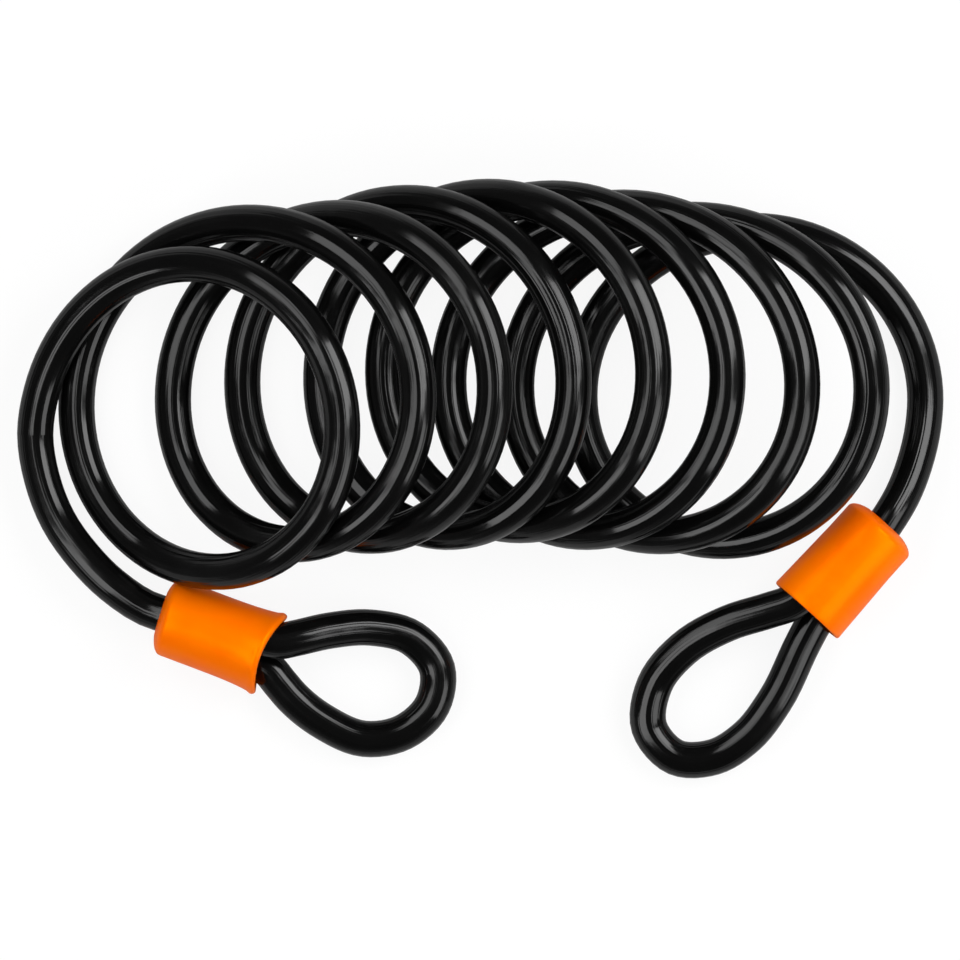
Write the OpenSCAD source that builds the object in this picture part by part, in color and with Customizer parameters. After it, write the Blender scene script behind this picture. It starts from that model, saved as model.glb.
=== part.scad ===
// Self-coiling security cable: a steel wire rope in a plastic jacket, wound in eight and a
// half leaning turns, with an eye at each end. A crimped ferrule closes each eye, and an
// orange sleeve covers the ferrule. The cable lies on the plane z = 0.

/* [Cable] */
// Outside diameter of the plastic jacket
cable_d = 12; // [10:0.5:12]
// Diameter of the wire rope
rope_d = 8; // [6:0.25:8.75]
// Gap all round between the rope and the inside of the jacket
rope_gap = 0.25; // [0.2:0.05:0.5]
// Depth of the flats that the lowest turns rest on
rest_flat = 1.2; // [0.5:0.1:1.5]

/* [Coil] */
// Distance between two turns, along the row
turn_spacing = 24; // [24:0.1:25]
// Half of a turn's size along the row, at the cable's middle
turn_half_w = 50; // [49:0.5:50.5]
// Half of a turn's size across the row, at the cable's middle
turn_half_l = 54; // [53:0.5:55]
// Height that a leaning turn's raised side stands above its resting side
turn_lean = 50; // [49:1:56]

/* [Ferrules] */
// Length of each ferrule
ferrule_len = 19; // [14:0.5:21]
// Gap all round between the rope and its hole through the ferrule
ferrule_bore_gap = 0.1; // [0.05:0.05:0.4]
// Metal left between the two holes
ferrule_web = 1; // [0.5:0.25:2.5]
// Thinnest metal outside the holes
ferrule_wall = 3.2; // [2:0.2:4]
// Chamfer at each end of the ferrule
ferrule_chamfer = 1; // [0.4:0.2:1.8]

/* [Sleeves] */
// Length of a sleeve without its domed end
sleeve_len = 36; // [34:0.5:44]
// Wall of a sleeve
sleeve_wall = 1.1; // [0.8:0.1:1.8]
// Gap all round between the ferrule and the sleeve
sleeve_fit = 0.05; // [0.02:0.01:0.3]
// Depth of the dome at the end where the single cable goes in
dome_depth = 3.2; // [2.4:0.2:5]
// Gap all round between the single cable and its hole in the dome
cable_hole_gap = 0.6; // [0.5:0.05:0.9]
// Gap between the two legs and the sleeve's flared mouth
mouth_gap = 0.6; // [0.3:0.05:1]
// Distance from the sleeve's shoulder to the ferrule
ferrule_inset = 9; // [8:0.5:10]
// Height of the sleeves above the table
sleeve_lift = 0.5; // [0.2:0.1:3]

/* [Eyes] */
// Gap between the jackets of the two legs where they start
leg_gap = 0.2; // [0.1:0.1:0.6]
// Length of bare rope between the ferrule and the legs' jackets
bare_rope = 5; // [4:0.5:7]

/* [Hidden] */

JACKET_COLOR = "#161618";
ROPE_COLOR = "#a9adb0";
FERRULE_COLOR = "#b9bcc0";
SLEEVE_COLOR = "#ff7a00";

// How each turn departs from an even row, one entry per turn at its far side: its place along
// the row, its distance behind the part's middle, its two half sizes, and its raised side's height.
// The last half turn lies flat.
turn_x = [-1, -5, 1, -0.5, 2.5, 0, -0.5, -1.5, -6];
turn_y = [17, 28.5, 33, 35, 38, 37.5, 34.5, 32.5, 29];
turn_w = [-4.5, 0.5, -4.5, -1.5, -2, 1, 2, 3, 2];
turn_l = [-1, 1, -2, 1, 0, 0, 0, -2, -2];
turn_rise = [2, 3, 9, -3, 4, -6, -7, -14];
turns_to_middle = 4;
turns = 8.5;
rings_per_turn = 24;
coil_sides = 6;
// The first turn steps over the second one: its place along the cable, reach and height.
step_middle_turns = 0.12;
step_reach_turns = 0.2;
step_height = 9;

// Each end: the middle of the sleeve's shoulder in plan, from the coil's end, how far the single
// cable goes in beside the sleeve's axis, the heading towards the eye, and the roll of the pair
// of ropes.
left_shoulder = [44, -60];
left_entry = 0;
left_heading_angle = -20.6;
left_roll_angle = 50;
right_shoulder = [-15.1, -45.5];
right_entry = 0;
right_heading_angle = -132;
right_roll_angle = -50;
// Routes of the tails, in plan from the coil's end, and of the eyes, from the sleeve's shoulder.
left_tail_route = [[2.2, -14.6, 8.6], [7.5, -28.3, 10], [16.2, -40.6, 11.8], [25.2, -49.6, 12.9]];
right_tail_route = [[-1, -11.1, 5.8], [-3.6, -24.1, 9], [-7.8, -34.6, 12]];
left_eye_route = [[36.7, -8.1, 18.8], [41.4, -7.2, 18.2], [52.7, -4.7, 15], [66.7, -3.7, 10.6],
                  [80.2, -7.3, 7.2], [88.2, -17.1, 5.8], [86.7, -29.1, 5.8],
                  [77.2, -38.1, 5.8], [64.2, -40.3, 6.4], [51.2, -34.9, 7.8],
                  [40.6, -26.6, 8.9], [36.8, -22.2, 9.4], [32.7, -17.4, 9.9]];
right_eye_route = [[-29.3, -24.1, 18.8], [-36.1, -26.4, 17.8], [-50, -30.8, 15],
                   [-64.5, -39.2, 11], [-74, -51.1, 7.5], [-75.7, -65.1, 5.9], [-67, -74.9, 5.8],
                   [-54.5, -74.8, 5.8], [-43.5, -68, 6.4], [-34.5, -56.4, 7.8],
                   [-24.6, -36.2, 9.6], [-21.7, -30.9, 9.9]];
tail_sides = 12;
tail_start = 3;
mouth_spread = 0.25;
leg_room_lead = 1;
rope_stub = 1;
rope_split_gap = 0.1;
jacket_end = -1;
inner_rings = 3;
rope_straight = 1.5;
round_fn = 96;
dome_steps = 8;
overrun = 1;

cable_r = cable_d / 2;
rope_r = rope_d / 2;
bore_r = rope_r + rope_gap;
rest_z = cable_r - rest_flat;
ferrule_bore_d = rope_d + 2 * ferrule_bore_gap;
rope_pitch = ferrule_bore_d + ferrule_web;
ferrule_d = rope_pitch + ferrule_bore_d + 2 * ferrule_wall;
ferrule_end = ferrule_inset + ferrule_len;
leg_start = ferrule_end + bare_rope;
leg_pitch = cable_d + leg_gap;
// The sleeve's inside: round the ferrule, where the legs' jackets start, and at its mouth.
ferrule_room_r = ferrule_d / 2 + sleeve_fit;
leg_room_r = max(ferrule_room_r, leg_pitch / 2 + cable_r + mouth_gap);
mouth_room_r = leg_room_r + mouth_spread;
sleeve_r = ferrule_room_r + sleeve_wall;
mouth_r = mouth_room_r + sleeve_wall;
// The sleeves lie with their undersides level.
tilt = asin((mouth_r - sleeve_r) / sleeve_len);
shoulder_z = sleeve_r + sleeve_lift;

// The list's own entries, carried on in a straight line past both ends.
function entry(list, i) =
    let (last = len(list) - 1)
    i < 0 ? list[0] + i * (list[1] - list[0])
    : i > last ? list[last] + (i - last) * (list[last] - list[last - 1])
    : list[i];

// A smooth curve through the list's entries.
function smooth(list, t) =
    let (i = floor(t), f = t - i,
         a = entry(list, i - 1), b = entry(list, i), c = entry(list, i + 1), d = entry(list, i + 2))
    (2 * b + (c - a) * f + (2 * a - 5 * b + 4 * c - d) * f * f
     + (3 * b - a - 3 * c + d) * f * f * f) / 2;

function step_up(u) =
    let (f = (u - step_middle_turns) / step_reach_turns)
    abs(f) < 1 ? step_height * (1 + cos(180 * f)) / 2 : 0;

// The cable's middle at u turns from its left-hand end.
function coil_point(u) =
    let (t = u - 0.25, rise = (1 - cos(360 * u)) / 2)
    [turn_spacing * (t - turns_to_middle) + smooth(turn_x, t)
     - (turn_half_w + smooth(turn_w, t)) * cos(360 * u),
     smooth(turn_y, t) + (turn_half_l + smooth(turn_l, t)) * sin(360 * u),
     rest_z + smooth(turn_lift, u - 0.5) * rise * rise * (3 - 2 * rise) + step_up(u)];

turn_lift = concat([for (rise = turn_rise) turn_lean + rise], [0]);
coil_rings = turns * rings_per_turn;
coil_path = [for (i = [0 : coil_rings]) coil_point(i / rings_per_turn)];
left_coil_end = coil_path[0];
right_coil_end = coil_path[coil_rings];

// An end: its shoulder's middle, its heading, its roll and its entry's offset.
function placed_end(from, shoulder, heading, roll, entry) =
    [[from.x + shoulder.x, from.y + shoulder.y, shoulder_z], heading, roll, entry];
left_end = placed_end(left_coil_end, left_shoulder, left_heading_angle, left_roll_angle, left_entry);
right_end = placed_end(right_coil_end, right_shoulder, right_heading_angle, right_roll_angle,
                       right_entry);

// A point in a sleeve's frame: depth along the axis, and offset along the pair of ropes.
function sleeve_axis(end) = [cos(end[1]) * cos(tilt), sin(end[1]) * cos(tilt), sin(tilt)];
function sleeve_point(end, depth, offset) =
    let (axis = sleeve_axis(end), left = [-sin(end[1]), cos(end[1]), 0], up = cross(axis, left))
    end[0] + depth * axis + offset * (cos(end[2]) * left + sin(end[2]) * up);

// The single cable in front of the sleeve and inside it, where the rope moves over to its
// hole in the ferrule and runs straight before it.
function entry_offset(end, depth) =
    let (run = ferrule_inset - rope_straight + dome_depth,
         f = min(1, max(0, (depth + dome_depth) / run)))
    end[3] + (rope_pitch / 2 - end[3]) * (1 - cos(180 * f)) / 2;
function entry_point(end, depth) = sleeve_point(end, depth, entry_offset(end, depth));

function unit(v) = v / norm(v);
function straight_on(path, i, j, length) = path[i] + length * unit(path[i] - path[j]);

// Route points given in plan from a place, with their heights above the table.
function placed(route, from) = [for (p = route) [from.x + p.x, from.y + p.y, p.z]];

left_start = [left_coil_end, straight_on(coil_path, 0, 1, tail_start)];
right_start = [right_coil_end, straight_on(coil_path, coil_rings, coil_rings - 1, tail_start)];
function tail_path(start, route, end) =
    concat(start, placed(route, start[0]),
           [for (depth = [-dome_depth, jacket_end]) entry_point(end, depth)]);
function rope_tail_path(start, route, end) =
    let (step = (ferrule_inset - rope_straight - jacket_end) / inner_rings)
    concat(tail_path(start, route, end),
           [for (i = [1 : inner_rings]) entry_point(end, jacket_end + i * step)],
           [entry_point(end, ferrule_inset - rope_split_gap)]);

// The legs' jackets start on both sides of the sleeve's axis; side is 1 for the first leg.
function leg(end, side) = sleeve_point(end, leg_start, side * leg_pitch / 2);
function reversed(list) = [for (i = [len(list) - 1 : -1 : 0]) list[i]];
function eye_path(end, route, side) =
    concat([leg(end, side)], placed(route, end[0]), [leg(end, -side)]);
function in_ferrule(end, side, first) =
    [sleeve_point(end, first, side * rope_pitch / 2),
     sleeve_point(end, ferrule_end, side * rope_pitch / 2)];
function rope_eye_path(end, route, side) =
    let (standing = ferrule_inset, cut_end = ferrule_inset - rope_stub)
    concat(in_ferrule(end, side, side > 0 ? standing : cut_end),
           eye_path(end, route, side),
           reversed(in_ferrule(end, -side, side > 0 ? cut_end : standing)));

// A ring of points square to the path, with no point below the table.
function ring(path, i, r, sides) =
    let (last = len(path) - 1,
         along = unit(path[min(i + 1, last)] - path[max(i - 1, 0)]),
         left = unit(cross([0, 0, 1], along)),
         up = cross(along, left))
    [for (k = [0 : sides - 1])
        let (p = path[i] + r * (cos(360 * k / sides) * left + sin(360 * k / sides) * up))
        [p.x, p.y, max(p.z, 0)]];

function skin(path, r, sides) = [for (i = [0 : len(path) - 1]) each ring(path, i, r, sides)];

// Triangles along a tube's wall; first is the number of its first point.
function wall_faces(rings, sides, first) =
    [for (i = [0 : rings - 2], k = [0 : sides - 1])
        let (a = first + i * sides + k, b = first + i * sides + (k + 1) % sides)
        each [[a, b + sides, b], [a, a + sides, b + sides]]];
function turned(faces) = [for (f = faces) [f[2], f[1], f[0]]];
// Triangles across the end ring that starts at point a, open in the middle to ring b.
function rim_faces(sides, a, b) =
    [for (k = [0 : sides - 1])
        let (n = (k + 1) % sides)
        each [[a + k, a + n, b + n], [a + k, b + n, b + k]]];
function cap_faces(sides, a) = [for (k = [1 : sides - 2]) [a, a + k, a + k + 1]];

module rope_tube(path, sides) {
    last = (len(path) - 1) * sides;
    polyhedron(points = skin(path, rope_r, sides),
               faces = concat(wall_faces(len(path), sides, 0), cap_faces(sides, 0),
                              turned(cap_faces(sides, last))),
               convexity = 10);
}

module jacket_tube(path, sides) {
    inner = len(path) * sides;
    last = inner - sides;
    polyhedron(points = concat(skin(path, cable_r, sides), skin(path, bore_r, sides)),
               faces = concat(wall_faces(len(path), sides, 0),
                              turned(wall_faces(len(path), sides, inner)),
                              rim_faces(sides, 0, inner),
                              turned(rim_faces(sides, last, inner + last))),
               convexity = 10);
}

// Least gap between two places on the coil more than a third of a turn apart, measured on
// points along its middle.
parts_per_ring = 3;
function spine(k) =
    let (i = min(floor(k / parts_per_ring), coil_rings - 1), f = k / parts_per_ring - i)
    coil_path[i] * (1 - f) + coil_path[i + 1] * f;
function least_gap() =
    let (count = coil_rings * parts_per_ring,
         points = [for (k = [0 : count]) spine(k)],
         skip = ceil(rings_per_turn * parts_per_ring / 3))
    min([for (a = [0 : count - skip], b = [a + skip : count]) norm(points[a] - points[b])]) - cable_d;

module coil_jacket() {
    echo(least_gap_between_turns = least_gap());
    color(JACKET_COLOR) jacket_tube(coil_path, coil_sides);
}

module coil_rope() {
    color(ROPE_COLOR) rope_tube(coil_path, coil_sides);
}

module tail_jacket(start, route, end) {
    color(JACKET_COLOR) jacket_tube(tail_path(start, route, end), tail_sides);
}

module tail_rope(start, route, end) {
    color(ROPE_COLOR) rope_tube(rope_tail_path(start, route, end), tail_sides);
}

module eye_jacket(end, route, side) {
    color(JACKET_COLOR) jacket_tube(eye_path(end, route, side), tail_sides);
}

module eye_rope(end, route, side) {
    color(ROPE_COLOR) rope_tube(rope_eye_path(end, route, side), tail_sides);
}

// Puts a piece made along +Z on a sleeve's axis, turned with the pair of ropes.
module on_axis(end, depth) {
    translate(sleeve_point(end, depth, 0)) rotate([0, 90 - tilt, end[1]]) rotate(end[2]) children();
}

// Round aluminium barrel with two holes side by side.
module ferrule(end) {
    color(FERRULE_COLOR) on_axis(end, ferrule_inset) difference() {
        rotate_extrude($fn = round_fn)
            polygon([[0, 0], [ferrule_d / 2 - ferrule_chamfer, 0], [ferrule_d / 2, ferrule_chamfer],
                     [ferrule_d / 2, ferrule_len - ferrule_chamfer],
                     [ferrule_d / 2 - ferrule_chamfer, ferrule_len], [0, ferrule_len]]);
        for (side = [-1, 1])
            translate([0, side * rope_pitch / 2, -overrun])
                cylinder(d = ferrule_bore_d, h = ferrule_len + 2 * overrun, $fn = round_fn);
    }
}

// Quarter of an ellipse from the sleeve's side to the middle of the dome.
function dome_edge(side_r, depth) =
    [for (i = [0 : dome_steps])
        let (a = 90 * i / dome_steps)
        [cable_r / 2 + (side_r - cable_r / 2) * cos(a), -depth * sin(a)]];

// Orange tube, domed where the single cable goes in and flared where the legs come out.
module sleeve(end) {
    flare_start = ferrule_end - ferrule_chamfer;
    leg_room = leg_start - leg_room_lead;
    color(SLEEVE_COLOR) on_axis(end, 0) difference() {
        rotate_extrude($fn = round_fn)
            polygon(concat([[mouth_room_r, sleeve_len], [mouth_r, sleeve_len],
                            [leg_room_r + sleeve_wall, leg_room], [sleeve_r, flare_start]],
                           dome_edge(sleeve_r, dome_depth),
                           reversed(dome_edge(ferrule_room_r, dome_depth - sleeve_wall)),
                           [[ferrule_room_r, flare_start], [leg_room_r, leg_room]]));
        translate([0, end[3], -dome_depth - overrun])
            cylinder(r = cable_r + cable_hole_gap, h = dome_depth + overrun, $fn = round_fn);
    }
}

module left_tail_jacket() { tail_jacket(left_start, left_tail_route, left_end); }
module left_tail_rope() { tail_rope(left_start, left_tail_route, left_end); }
module right_tail_jacket() { tail_jacket(right_start, right_tail_route, right_end); }
module right_tail_rope() { tail_rope(right_start, right_tail_route, right_end); }
module left_eye_jacket() { eye_jacket(left_end, left_eye_route, 1); }
module left_eye_rope() { eye_rope(left_end, left_eye_route, 1); }
module right_eye_jacket() { eye_jacket(right_end, right_eye_route, -1); }
module right_eye_rope() { eye_rope(right_end, right_eye_route, -1); }
module left_ferrule() { ferrule(left_end); }
module right_ferrule() { ferrule(right_end); }
module left_sleeve() { sleeve(left_end); }
module right_sleeve() { sleeve(right_end); }

coil_jacket();
coil_rope();
left_tail_jacket();
left_tail_rope();
right_tail_jacket();
right_tail_rope();
left_eye_jacket();
left_eye_rope();
right_eye_jacket();
right_eye_rope();
left_ferrule();
right_ferrule();
left_sleeve();
right_sleeve();
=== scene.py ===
import math
from itertools import accumulate

import bmesh
import bpy
from mathutils import Matrix, Vector


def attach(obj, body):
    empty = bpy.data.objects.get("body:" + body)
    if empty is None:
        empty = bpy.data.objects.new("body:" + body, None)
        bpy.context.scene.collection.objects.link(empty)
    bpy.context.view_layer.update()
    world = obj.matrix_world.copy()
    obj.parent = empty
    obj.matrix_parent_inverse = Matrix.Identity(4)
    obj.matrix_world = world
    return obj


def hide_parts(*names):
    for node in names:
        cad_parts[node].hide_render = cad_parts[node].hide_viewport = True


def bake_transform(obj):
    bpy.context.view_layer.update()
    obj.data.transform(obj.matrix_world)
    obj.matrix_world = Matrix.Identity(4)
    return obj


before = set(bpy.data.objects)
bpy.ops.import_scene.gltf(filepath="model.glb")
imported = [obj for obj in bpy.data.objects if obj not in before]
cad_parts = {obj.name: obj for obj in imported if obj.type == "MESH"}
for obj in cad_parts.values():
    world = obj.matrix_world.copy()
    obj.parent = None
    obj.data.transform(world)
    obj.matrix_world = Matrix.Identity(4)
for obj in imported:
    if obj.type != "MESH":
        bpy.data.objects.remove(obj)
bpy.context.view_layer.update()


# Camera: straight above the middle of the cable, and far enough away that the raised turns
# show no perspective. The frame is as wide as the coil with a narrow margin.
camera_height = 12.0
frame_width = 0.3156
frame_level = 0.02
camera = bpy.data.objects.new("camera", bpy.data.cameras.new("camera"))
camera.data.sensor_width = 36
camera.data.lens = camera.data.sensor_width * (camera_height - frame_level) / frame_width
camera.data.clip_end = 100
camera.location = (0.0001, -0.001, camera_height)
bpy.context.collection.objects.link(camera)
bpy.context.scene.camera = camera


# The cable: an 8 mm steel wire rope in one extruded jacket of glossy black vinyl, 12 mm
# outside. It is wound hot on a mandrel, so that it springs back into eight and a half turns.
# Each turn leans on the next one, and the first turn steps over the second.
cable_d = 0.012
rest_z = 0.0048
turn_spacing = 0.024
turn_half_w = 0.050
turn_half_l = 0.054
turn_lean = 0.050
turn_x = [-0.001, -0.005, 0.001, -0.0005, 0.0025, 0, -0.0005, -0.0015, -0.006]
turn_y = [0.017, 0.0285, 0.033, 0.035, 0.038, 0.0375, 0.0345, 0.0325, 0.029]
turn_w = [-0.0045, 0.0005, -0.0045, -0.0015, -0.002, 0.001, 0.002, 0.003, 0.002]
turn_l = [-0.001, 0.001, -0.002, 0.001, 0, 0, 0, -0.002, -0.002]
turn_rise = [0.002, 0.003, 0.009, -0.003, 0.004, -0.006, -0.007, -0.014]
turn_lift = [turn_lean + rise for rise in turn_rise] + [0]
turns_to_middle = 4
turns = 8.5
rings_per_turn = 24
far_side_of_turn = 0.25
raised_side_of_turn = 0.5
step_middle_turns = 0.12
step_reach_turns = 0.2
step_height = 0.009


def entry(values, i):
    """One value of a list that goes on in a straight line past both of its ends."""
    last = len(values) - 1
    if i < 0:
        return values[0] + i * (values[1] - values[0])
    if i > last:
        return values[last] + (i - last) * (values[last] - values[last - 1])
    return values[i]


def smooth(values, t):
    """A smooth curve through evenly spaced values."""
    i = math.floor(t)
    f = t - i
    a, b, c, d = (entry(values, i + k) for k in (-1, 0, 1, 2))
    return (2 * b + (c - a) * f + (2 * a - 5 * b + 4 * c - d) * f**2
            + (3 * b - a - 3 * c + d) * f**3) / 2


def coil_point(u):
    """The middle of the cable, u turns from the coil's left end. What the lists say of a turn
    holds in plan at its far side, and in height at its raised side."""
    turn = 2 * math.pi * u
    t = u - far_side_of_turn
    rise = (1 - math.cos(turn)) / 2
    f = (u - step_middle_turns) / step_reach_turns
    step = step_height * (1 + math.cos(math.pi * f)) / 2 if abs(f) < 1 else 0
    return Vector((
        turn_spacing * (t - turns_to_middle) + smooth(turn_x, t)
        - (turn_half_w + smooth(turn_w, t)) * math.cos(turn),
        smooth(turn_y, t) + (turn_half_l + smooth(turn_l, t)) * math.sin(turn),
        rest_z + smooth(turn_lift, u - raised_side_of_turn) * rise**2 * (3 - 2 * rise) + step,
    ))


coil_rings = int(turns * rings_per_turn)
coil_route = [coil_point(i / rings_per_turn) for i in range(coil_rings + 1)]

# The tails go on from the coil's first and last ring. Both are lifted a little, so that the
# cable bends evenly there.
first_ring_lift = 0.0012
last_ring_lift = 0.0006
coil_route[0].z += first_ring_lift
coil_route[-1].z += last_ring_lift

# Where each sleeve lies: the middle of its shoulder in plan from the coil's end, the heading of
# its axis towards the eye, and how far its two ropes are rolled about that axis.
shoulder_z = 0.01355
sleeve_tilt = math.radians(1.59175)
dome_depth = 0.0032
way_in_run = 0.0107
rope_pitch = 0.0092


class CableEnd:
    """The place of a sleeve and of what it holds. Depths run along its axis, from the shoulder
    towards the eye, and offsets from one of its two ropes to the other."""

    def __init__(self, coil_end, shoulder, heading, roll):
        self.shoulder = Vector((coil_end.x + shoulder[0], coil_end.y + shoulder[1], shoulder_z))
        self.placing = (Matrix.Translation(self.shoulder)
                        @ Matrix.Rotation(math.radians(heading), 4, "Z")
                        @ Matrix.Rotation(math.pi / 2 - sleeve_tilt, 4, "Y"))
        roll = math.radians(roll)
        self.pair_direction = Vector((-math.sin(roll), math.cos(roll), 0))

    def at(self, depth, offset):
        return self.placing @ (self.pair_direction * offset + Vector((0, 0, depth)))

    def way_in(self, depth):
        """The single cable's place, on its way from the dome's hole to its own bore."""
        share = (1 - math.cos(math.pi * (depth + dome_depth) / way_in_run)) / 2
        return self.at(depth, rope_pitch / 2 * share)

    def placed(self, route):
        """A route that is given in plan from the shoulder, with heights above the table."""
        return [Vector((self.shoulder.x + x, self.shoulder.y + y, z)) for x, y, z in route]


left_end = CableEnd(coil_route[0], (0.044, -0.060), heading=-20.6, roll=50)
right_end = CableEnd(coil_route[-1], (-0.0151, -0.0455), heading=-132, roll=-50)

left_tail_route = [(0.0022, -0.0146, 0.0090), (0.0075, -0.0283, 0.010),
                   (0.0162, -0.0406, 0.0118), (0.0252, -0.0496, 0.0129)]
right_tail_route = [(-0.0006, -0.0111, 0.0063), (-0.0036, -0.0241, 0.009),
                    (-0.0078, -0.0346, 0.012)]
jacket_end = -0.001


def tail(coil_end, route, end):
    """The route from the coil's end to where the jacket ends inside the sleeve's dome."""
    points = [Vector((coil_end.x + x, coil_end.y + y, z)) for x, y, z in route]
    return points + [end.way_in(depth) for depth in (-dome_depth, jacket_end)]


left_tail = tail(coil_route[0], left_tail_route, left_end)
right_tail = tail(coil_route[-1], right_tail_route, right_end)
cable_route = left_tail[::-1] + coil_route + right_tail


def bend_along(route, t):
    """A place on the smooth curve through the route's points, which may be unevenly spaced."""
    i = min(int(t), len(route) - 2)
    near, far = route[i], route[i + 1]
    step = (far - near).length

    def heading(k):
        before = route[max(k - 1, 0)] - route[k]
        after = route[min(k + 1, len(route) - 1)] - route[k]
        if not before.length or not after.length:
            return (after - before).normalized()
        share = after.length / (before.length + after.length)
        return after.normalized() * (1 - share) - before.normalized() * share

    f = t - i
    return (near * (1 + 2 * f) * (1 - f) ** 2 + far * f**2 * (3 - 2 * f)
            + (heading(i) * (1 - f) - heading(i + 1) * f) * step * f * (1 - f))


seam_step = 0.02


def stretch(points, first, last, per_point=4):
    """Points along a stretch of the route, with short steps at its ends, where stretches meet."""
    inner = [first + k / per_point for k in range(1, round((last - first) * per_point))]
    stops = [first, first + seam_step, *inner, last - seam_step, last]
    return [bend_along(points, t) for t in stops]


def lengths_along(path):
    """The length of the path up to each of its points."""
    return [0, *accumulate((b - a).length for a, b in zip(path, path[1:]))]


press_level = 0.0012
cable_sides = 28
same_texture_place = 1e-4


def jacket(name, path):
    """A round tube along the path, pressed flat where it bears on the table. Its texture
    coordinates are metres along the cable, and turns round it."""
    curve = bpy.data.curves.new(name, "CURVE")
    curve.dimensions = "3D"
    curve.bevel_depth = cable_d / 2
    curve.bevel_resolution = cable_sides // 2 - 2
    curve.use_fill_caps = True
    spline = curve.splines.new("POLY")
    spline.points.add(len(path) - 1)
    for point, place in zip(spline.points, path):
        point.co = (*place, 1)
    shape = bpy.data.objects.new(name, curve)
    mesh = bpy.data.meshes.new_from_object(shape)
    bpy.data.objects.remove(shape)
    form = bmesh.new()
    form.from_mesh(mesh)
    for v in form.verts:
        if v.co.z < press_level:
            v.co.z = max(v.co.z + press_level, 0) ** 2 / (4 * press_level)
    lengths = lengths_along(path)
    coordinates = form.loops.layers.uv.active
    for face in form.faces:
        face.smooth = True
        for corner in face.loops:
            share = corner[coordinates].uv.x
            corner[coordinates].uv.x = lengths[round(share * (len(path) - 1))]
        is_cap = len(face.verts) > 4
        if is_cap:
            for edge in face.edges:
                edge.smooth = False
    form.to_mesh(mesh)
    form.free()
    mesh.name = name
    piece = bpy.data.objects.new(name, mesh)
    bpy.context.collection.objects.link(piece)
    return piece


def go_on_from(neighbour, seam_there, piece, seam_here, centre, heading):
    """Shifts a jacket's texture coordinates along and round it, so that its die lines go on
    from its neighbour's where the two meet."""

    def side(jacket_piece, along, turned):
        """The side of the cable that is so many turns round it, out from the middle."""
        mesh = jacket_piece.data
        coordinates = mesh.uv_layers.active.data
        place = Vector((along, turned))
        wall_corners = (corner for face in mesh.polygons if face.loop_total == 4
                        for corner in face.loop_indices)
        found = next(corner for corner in wall_corners
                     if (coordinates[corner].uv - place).length < same_texture_place)
        return mesh.vertices[mesh.loops[found].vertex_index].co - centre

    here, quarter = side(piece, seam_here, 0), side(piece, seam_here, 0.25)
    there = side(neighbour, seam_there, 0)
    angle = math.atan2(heading.dot(here.cross(there)), here.dot(there))
    sense = math.copysign(1, heading.dot(here.cross(quarter)))
    shift = Vector((seam_there - seam_here, -sense * angle / (2 * math.pi)))
    for corner in piece.data.uv_layers.active.data:
        corner.uv += shift


class Value:
    """A socket of a shader, which Python's operators turn into Math nodes."""

    def __init__(self, socket):
        self.socket = socket

    def math(self, operation, *others):
        return add_node(self.socket.id_data, "ShaderNodeMath", {"operation": operation},
                        dict(enumerate((self, *others))))

    def __add__(self, other):
        return self.math("ADD", other)

    __radd__ = __add__

    def __mul__(self, other):
        return self.math("MULTIPLY", other)

    __rmul__ = __mul__


def add_node(tree, kind, settings, inputs, output=0):
    """Adds a node with its settings, then its values or links, and gives one of its outputs."""
    node = tree.nodes.new(kind)
    for name, value in settings.items():
        if name == "stops":
            ramp = node.color_ramp
            while len(ramp.elements) < len(value):
                ramp.elements.new(1)
            for element, (position, level) in zip(ramp.elements, value):
                element.position = position
                element.color = (level, level, level, 1)
        else:
            setattr(node, name, value)
    for name, value in inputs.items():
        if isinstance(value, Value):
            tree.links.new(value.socket, node.inputs[name])
        else:
            node.inputs[name].default_value = value
    return Value(node.outputs[output])


def new_material(name):
    material = bpy.data.materials.new(name)
    material.use_nodes = True
    material.node_tree.nodes.clear()
    return material, material.node_tree


def finish_material(tree, surface):
    material_output = tree.nodes.new("ShaderNodeOutputMaterial")
    tree.links.new(surface.socket, material_output.inputs["Surface"])


def noise(tree, place, scale, detail, roughness=0.5):
    return add_node(tree, "ShaderNodeTexNoise", {}, {
        "Vector": place, "Scale": scale, "Detail": detail, "Roughness": roughness})


def between(tree, share, low, high):
    """A colour between two, from the sockets of the Mix node that are for colours."""
    return add_node(tree, "ShaderNodeMix", {"data_type": "RGBA"},
                    {0: share, 6: (*low, 1), 7: (*high, 1)}, 2)


def bump(tree, height, strength):
    """The surface's direction where it has this height, in metres."""
    return add_node(tree, "ShaderNodeBump", {}, {
        "Strength": strength, "Distance": 1.0, "Height": height}, "Normal")


black_vinyl, tree = new_material("black_vinyl")
place = add_node(tree, "ShaderNodeTexCoord", {}, {}, "Object")
on_cable = add_node(tree, "ShaderNodeUVMap", {"uv_map": "UVMap"}, {})
along = add_node(tree, "ShaderNodeSeparateXYZ", {}, {"Vector": on_cable}, "X")
round_it = add_node(tree, "ShaderNodeSeparateXYZ", {}, {"Vector": on_cable}, "Y") * (2 * math.pi)
changes_per_metre = 4
pattern_radius = 4
drawn_out = add_node(tree, "ShaderNodeCombineXYZ", {}, {
    "X": along * changes_per_metre, "Y": round_it.math("SINE") * pattern_radius,
    "Z": round_it.math("COSINE") * pattern_radius})
die_lines = noise(tree, drawn_out, 1, 2, 0.55)
cloud = noise(tree, place, 60, 3)
grain = noise(tree, place, 1400, 2)
swell = noise(tree, place, 110, 1)
height = die_lines * 0.0004 + grain * 0.000005 + swell * 0.0002
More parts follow.
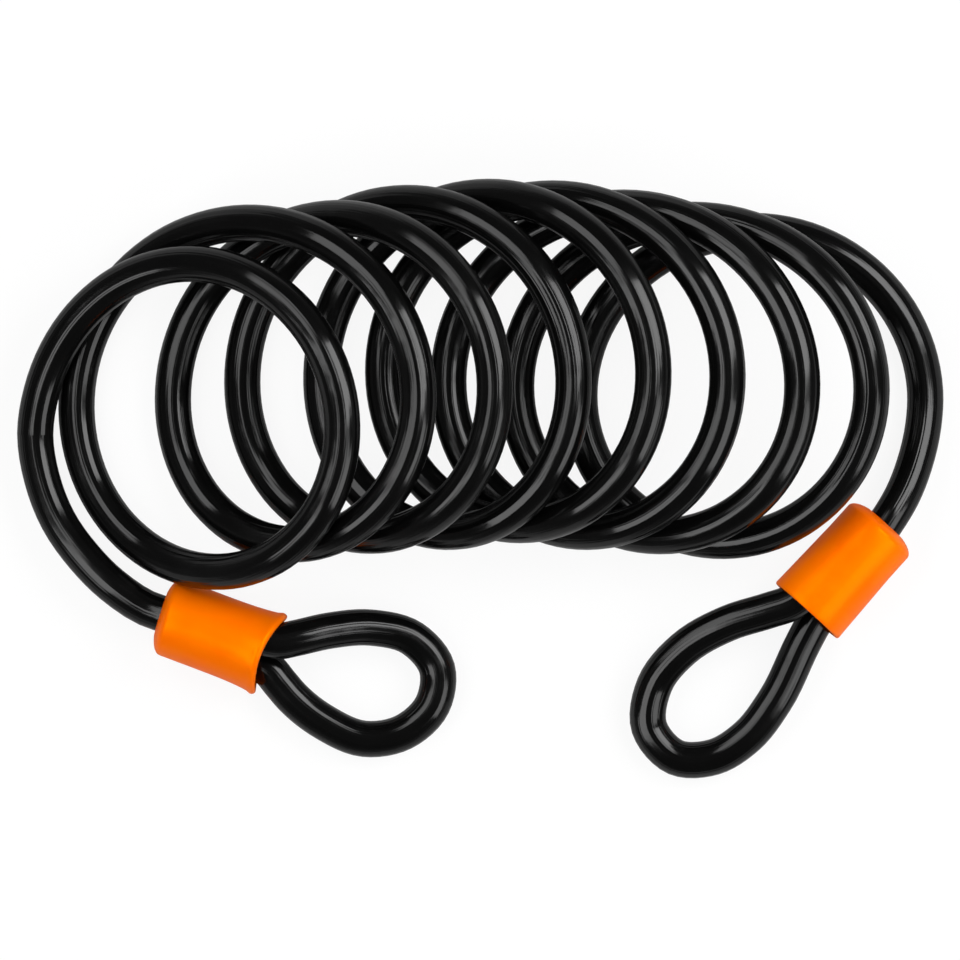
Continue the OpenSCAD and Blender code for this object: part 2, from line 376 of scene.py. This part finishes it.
finish_material(tree, add_node(tree, "ShaderNodeBsdfPrincipled", {}, {
    "Base Color": between(tree, cloud, (0.0012, 0.0012, 0.0012), (0.003, 0.003, 0.003)),
    "Roughness": 0.07 + cloud * 0.04 + die_lines * 0.10,
    "IOR": 1.38,
    "Normal": bump(tree, height, 0.6),
}))


# The coil's jacket runs from the left side of the first turn to just before the right side of
# the last one, where the right tail's stretch takes over.
tail_rings = 2
coil_first = len(left_tail)
coil_last = coil_first + coil_rings - tail_rings
coil_path = stretch(cable_route, coil_first, coil_last)
coil = jacket("coil", coil_path)
coil.data.materials.append(black_vinyl)
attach(coil, "coil")
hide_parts("coil_jacket")
lengths_along(coil_path)[-1]


# The tails: the same cable on its way from the coil to a sleeve, each a piece of its own.
left_tail_path = stretch(cable_route, 0, coil_first)
left_tail_piece = jacket("left_tail", left_tail_path)
go_on_from(coil, 0, left_tail_piece, lengths_along(left_tail_path)[-1], coil_path[0],
           coil_path[1] - coil_path[0])
left_tail_piece.data.materials.append(black_vinyl)
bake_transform(left_tail_piece)
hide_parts("left_tail_jacket", "left_tail_rope")
lengths_along(left_tail_path)[-1]

right_tail_path = stretch(cable_route, coil_last, len(cable_route) - 1)
right_tail_piece = jacket("right_tail", right_tail_path)
go_on_from(coil, lengths_along(coil_path)[-1], right_tail_piece, 0, coil_path[-1],
           coil_path[-1] - coil_path[-2])
right_tail_piece.data.materials.append(black_vinyl)
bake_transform(right_tail_piece)
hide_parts("right_tail_jacket", "right_tail_rope")
lengths_along(right_tail_path)[-1]


# The eyes: the cable's end turned back into a teardrop, lying on the table at its far side.
# Both legs go into the sleeve side by side, where their jackets end a little inside its mouth.
leg_start = 0.0305
leg_pitch = 0.0122
eye_rings_per_point = 6
left_eye_route = [
    (0.0367, -0.0081, 0.0188), (0.0414, -0.0072, 0.0182), (0.0527, -0.0047, 0.0150),
    (0.0667, -0.0037, 0.0106), (0.0802, -0.0073, 0.0072), (0.0882, -0.0171, 0.0058),
    (0.0867, -0.0291, 0.0058), (0.0772, -0.0381, 0.0058), (0.0642, -0.0403, 0.0064),
    (0.0512, -0.0349, 0.0078), (0.0406, -0.0266, 0.0089), (0.0368, -0.0222, 0.0094),
    (0.0327, -0.0174, 0.0099)]
right_eye_route = [
    (-0.0293, -0.0241, 0.0188), (-0.0361, -0.0264, 0.0178), (-0.0500, -0.0308, 0.0150),
    (-0.0645, -0.0392, 0.0110), (-0.0740, -0.0511, 0.0075), (-0.0757, -0.0651, 0.0059),
    (-0.0670, -0.0749, 0.0058), (-0.0545, -0.0748, 0.0058), (-0.0435, -0.0680, 0.0064),
    (-0.0345, -0.0564, 0.0078), (-0.0246, -0.0362, 0.0096), (-0.0217, -0.0309, 0.0099)]

for side_name, end, route, first_leg in (("left", left_end, left_eye_route, 1),
                                         ("right", right_end, right_eye_route, -1)):
    legs = [end.at(leg_start, leg * leg_pitch / 2) for leg in (first_leg, -first_leg)]
    eye_route = [legs[0], *end.placed(route), legs[1]]
    eye_path = stretch(eye_route, 0, len(eye_route) - 1, eye_rings_per_point)
    eye = jacket(side_name + "_eye", eye_path)
    eye.data.materials.append(black_vinyl)
    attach(eye, side_name + "_end")
    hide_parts(side_name + "_eye_jacket")
    lengths_along(eye_path)[-1]


# The sleeves: dip-moulded soft vinyl in bright orange, pulled over the ferrules. The end with
# the single cable is domed round it, and the mouth is spread by the two legs and ends in a lip.
sleeve_len = 0.036
sleeve_r = 0.01305
sleeve_wall = 0.0011
sleeve_sides = 96
hole_r = 0.0063
flare_start = 0.010
flare_steps = 16
dome_start = 0.0008
dome_steps = 10
dome_skew_reach = 0.012
bead_stretch = 1.5
weld_distance = 1e-6

orange_vinyl, tree = new_material("orange_vinyl")
place = add_node(tree, "ShaderNodeTexCoord", {}, {}, "Object")
cloud = noise(tree, place, 45, 3)
grain = noise(tree, place, 1100, 3)
dents = noise(tree, place, 150, 2)
height = grain * 0.000012 + dents * 0.00012
finish_material(tree, add_node(tree, "ShaderNodeBsdfPrincipled", {}, {
    "Base Color": between(tree, cloud, (1.0, 0.12, 0.0), (1.0, 0.21, 0.0)),
    "Roughness": 0.28 + cloud * 0.10,
    "Metallic": 0.14,
    "IOR": 1.3,
    "Specular Tint": (1.0, 0.80, 0.0, 1),
    "Subsurface Weight": 0.1,
    "Subsurface Radius": (1.0, 0.25, 0.05),
    "Subsurface Scale": 0.002,
    "Sheen Weight": 0.5,
    "Sheen Roughness": 0.4,
    "Sheen Tint": (1.0, 0.10, 0.0, 1),
    "Normal": bump(tree, height, 0.6),
}))


def dome(side_r, depth):
    """Points of the dome's edge from the sleeve's side to its hole, as radius and depth. They
    lie on a quarter of an ellipse, whose middle is halfway from the axis to the hole's edge."""
    middle = hole_r / 2
    quarter = [math.radians(90 * i / dome_steps) for i in range(dome_steps + 1)]
    points = [(middle + (side_r - middle) * math.cos(a),
               dome_start - (dome_start + depth) * math.sin(a)) for a in quarter]
    return [(radius, height) for radius, height in points if radius > hole_r]


def sleeve(name, end, lip_r, bead_r, flare_power, saddle, mouth_skew, dome_skew):
    """The tube is spun from its outline, as radius and depth. Then the mouth is drawn back by
    the saddle above and below, and mouth and dome are skewed across."""
    inner_r = sleeve_r - sleeve_wall
    straight = [flare_start * share for share in (0.5, 0.75)]
    flare = [(flare_start + (sleeve_len - flare_start) * f, (lip_r - sleeve_r) * f**flare_power)
             for f in [i / flare_steps for i in range(flare_steps - 1)]]
    outside = ([(sleeve_r + out, depth) for depth, out in flare[::-1]]
               + [(sleeve_r, depth) for depth in straight[::-1]]
               + dome(sleeve_r, dome_depth))
    inside = (dome(inner_r, dome_depth - sleeve_wall)[::-1]
              + [(inner_r, depth) for depth in straight]
              + [(inner_r + out, depth) for depth, out in flare])
    bead = [(lip_r + bead_r * (math.cos(a) - 1),
             sleeve_len + bead_stretch * bead_r * (math.sin(a) - 1))
            for a in [math.radians(degrees) for degrees in range(150, -1, -25)]]
    outline = outside + inside + bead
    form = bmesh.new()
    corners = [form.verts.new((radius, 0, depth)) for radius, depth in outline]
    edges = [form.edges.new(pair) for pair in zip(corners, corners[1:] + corners[:1])]
    bmesh.ops.spin(form, geom=corners + edges, cent=(0, 0, 0), axis=(0, 0, 1),
                   angle=2 * math.pi, steps=sleeve_sides, use_merge=True)
    bmesh.ops.remove_doubles(form, verts=form.verts, dist=weld_distance)
    for v in form.verts:
        across = v.co.y / sleeve_r
        upright = v.co.x / sleeve_r
        near_mouth = max(0, v.co.z / sleeve_len) ** 3
        near_hole = min(1, max(0, 1 - v.co.z / dome_skew_reach)) ** 2
        v.co.z += (near_mouth * (mouth_skew * across - saddle * upright**2)
                   + near_hole * dome_skew * across)
    bmesh.ops.recalc_face_normals(form, faces=form.faces)
    bmesh.ops.transform(form, matrix=end.placing, verts=form.verts)
    for face in form.faces:
        face.smooth = True
    mesh = bpy.data.meshes.new(name)
    form.to_mesh(mesh)
    form.free()
    mesh.materials.append(orange_vinyl)
    piece = bpy.data.objects.new(name, mesh)
    bpy.context.collection.objects.link(piece)
    return piece


left_sleeve = sleeve("left_orange_sleeve", left_end, lip_r=0.0144, bead_r=0.0011,
                     flare_power=4, saddle=0.0026, mouth_skew=0.0006, dome_skew=-0.0007)
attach(left_sleeve, "left_end")
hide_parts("left_sleeve")
right_sleeve = sleeve("right_orange_sleeve", right_end, lip_r=0.0138, bead_r=0.0006,
                      flare_power=1, saddle=0, mouth_skew=0, dome_skew=0)
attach(right_sleeve, "right_end")
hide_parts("right_sleeve")


# The wire rope inside the jacket: galvanised steel strands, dull grey with brighter crowns.
# It shows only inside the sleeves.
galvanised_steel, tree = new_material("galvanised_steel")
place = add_node(tree, "ShaderNodeTexCoord", {}, {}, "Object")
spangle = noise(tree, place, 500, 3)
wires = noise(tree, place, 2500, 2)
finish_material(tree, add_node(tree, "ShaderNodeBsdfPrincipled", {}, {
    "Base Color": between(tree, spangle, (0.38, 0.39, 0.40), (0.62, 0.63, 0.64)),
    "Metallic": 1.0,
    "Roughness": 0.35 + spangle * 0.25,
    "Normal": bump(tree, wires * 0.0001, 0.5),
}))
for node_name in ("coil_rope", "left_eye_rope", "right_eye_rope"):
    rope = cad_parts[node_name]
    rope.data.materials.clear()
    rope.data.materials.append(galvanised_steel)


# The ferrules: plain aluminium barrels with two holes, pressed round both parts of the rope.
# The press leaves a fine satin surface.
pressed_aluminium, tree = new_material("pressed_aluminium")
place = add_node(tree, "ShaderNodeTexCoord", {}, {}, "Object")
press_marks = noise(tree, place, 300, 4)
finish_material(tree, add_node(tree, "ShaderNodeBsdfPrincipled", {}, {
    "Base Color": between(tree, press_marks, (0.52, 0.53, 0.54), (0.68, 0.69, 0.70)),
    "Metallic": 1.0,
    "Roughness": 0.28 + press_marks * 0.2,
    "Normal": bump(tree, press_marks * 0.0001, 0.4),
}))
for node_name in ("left_ferrule", "right_ferrule"):
    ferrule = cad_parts[node_name]
    ferrule.data.materials.clear()
    ferrule.data.materials.append(pressed_aluminium)


# The floor: a wide white sheet that keeps a faint shadow. The camera sees it almost as bright
# as the white backdrop. Glossy surfaces mirror it as a mid grey, which keeps the cable black.
floor_half_w = 8
sheet_level = 0.9
less_in_gloss = 0.5
white_to_camera = 0.9
white_to_other_rays = 0.08
floor_form = bmesh.new()
bmesh.ops.create_grid(floor_form, x_segments=1, y_segments=1, size=floor_half_w)
floor_mesh = bpy.data.meshes.new("floor")
floor_form.to_mesh(floor_mesh)
floor_form.free()
floor = bpy.data.objects.new("floor", floor_mesh)
bpy.context.collection.objects.link(floor)
white_sheet, tree = new_material("white_sheet")
seen_by_camera = add_node(tree, "ShaderNodeLightPath", {}, {}, "Is Camera Ray")
seen_in_gloss = add_node(tree, "ShaderNodeLightPath", {}, {}, "Is Glossy Ray")
seen_through = add_node(tree, "ShaderNodeLightPath", {}, {}, "Is Transmission Ray")
sheet = add_node(tree, "ShaderNodeBsdfDiffuse", {}, {
    "Color": sheet_level + seen_in_gloss * -less_in_gloss})
white = add_node(tree, "ShaderNodeEmission", {}, {"Color": (1, 1, 1, 1), "Strength": 1.0})
white_share = (seen_by_camera * white_to_camera
               + (seen_in_gloss + seen_through) * white_to_other_rays)
finish_material(tree, add_node(tree, "ShaderNodeMixShader", {}, {
    0: white_share, 1: sheet, 2: white}))
floor_mesh.materials.append(white_sheet)


# The light: four soft boxes round the coil, high up and aimed at it, the strongest at the back
# on the right, in a dark studio. Only the camera sees a white backdrop.
box_distance = 1.0


def soft_box(name, lean, turn, width, length, level):
    """A lamp that leans from straight above by one angle, turned round the object by another."""
    lamp = bpy.data.lights.new(name, "AREA")
    lamp.shape = "RECTANGLE"
    lamp.size = width
    lamp.size_y = length
    lamp.energy = level * math.pi * width * length
    box = bpy.data.objects.new(name, lamp)
    box.rotation_euler = (0, math.radians(lean), math.radians(turn))
    box.location = box_distance * (box.rotation_euler.to_matrix() @ Vector((0, 0, 1)))
    box.visible_camera = False
    bpy.context.collection.objects.link(box)


soft_box("back_right_box", lean=41, turn=24, width=0.65, length=0.46, level=7.0)
soft_box("front_right_box", lean=51, turn=-25, width=0.60, length=0.52, level=3.8)
soft_box("back_left_box", lean=36, turn=150, width=0.70, length=0.54, level=3.4)
soft_box("front_left_box", lean=41, turn=208, width=0.72, length=0.38, level=4.4)

studio = bpy.data.worlds.new("studio")
bpy.context.scene.world = studio
studio.use_nodes = True
tree = studio.node_tree
tree.nodes.clear()
direction = add_node(tree, "ShaderNodeTexCoord", {}, {}, "Generated")
upward = add_node(tree, "ShaderNodeSeparateXYZ", {}, {"Vector": direction}, "Z")
walls = add_node(tree, "ShaderNodeValToRGB", {
    "stops": [(0.0, 0.20), (0.25, 0.08), (0.6, 0.05), (1.0, 0.07)]}, {"Fac": upward})
surroundings = add_node(tree, "ShaderNodeBackground", {}, {"Color": walls, "Strength": 1.0})
backdrop = add_node(tree, "ShaderNodeBackground", {}, {"Color": (1, 1, 1, 1), "Strength": 1.0})
seen_by_camera = add_node(tree, "ShaderNodeLightPath", {}, {}, "Is Camera Ray")
world_output = tree.nodes.new("ShaderNodeOutputWorld")
tree.links.new(add_node(tree, "ShaderNodeMixShader", {}, {
    0: seen_by_camera, 1: surroundings, 2: backdrop}).socket, world_output.inputs["Surface"])

bpy.context.scene.view_settings.view_transform = "Standard"
